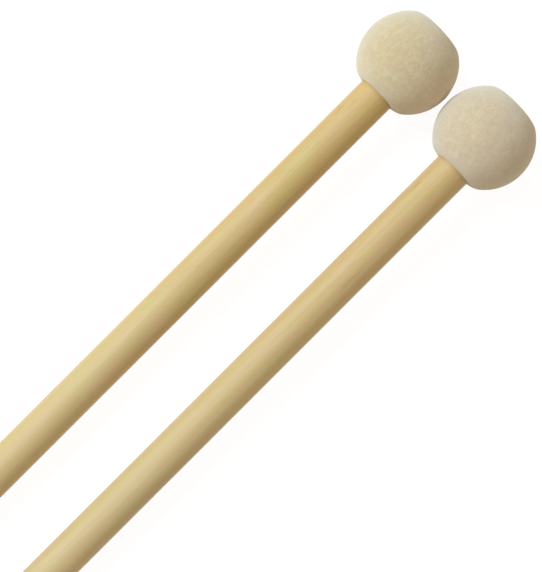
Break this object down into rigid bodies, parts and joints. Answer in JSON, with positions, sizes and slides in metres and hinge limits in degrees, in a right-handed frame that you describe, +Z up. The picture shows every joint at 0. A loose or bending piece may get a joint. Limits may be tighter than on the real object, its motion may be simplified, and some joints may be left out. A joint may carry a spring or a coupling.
{
  "type": "bass drum mallet pair",
  "caption": "Bass drum mallets lying side by side: straight lacquered wooden shafts with hard felt ball heads, flat at the underside and at the tip.",
  "frame": {"origin": "on the table under the middle of the pair as it lies", "axes": "+X from the butts towards the heads, +Y from the right mallet to the left one, +Z up from the table"},
  "size_m": [0.3824, 0.1018, 0.05],
  "materials": {
    "shaft_wood": "pale straight-grained hardwood under satin clear lacquer",
    "core_wood": "turned hardwood, unfinished",
    "felt": "hard pressed wool felt, cream",
    "steel": "zinc-plated"
  },
  "bodies": {
    "left_mallet": {"left_shaft": "shaft_wood", "left_core": "core_wood", "left_felt_head": "felt", "left_washer": "steel", "left_screw": "steel", "left_felt_plug": "felt"},
    "right_mallet": {"right_shaft": "shaft_wood", "right_core": "core_wood", "right_felt_head": "felt", "right_washer": "steel", "right_screw": "steel", "right_felt_plug": "felt"}
  },
  "joints": [
    {"name": "right_mallet_lift", "type": "slide", "parent": "left_mallet", "child": "right_mallet", "axis": [0, 0, 1], "range_m": [0, 0.12]}
  ]
}
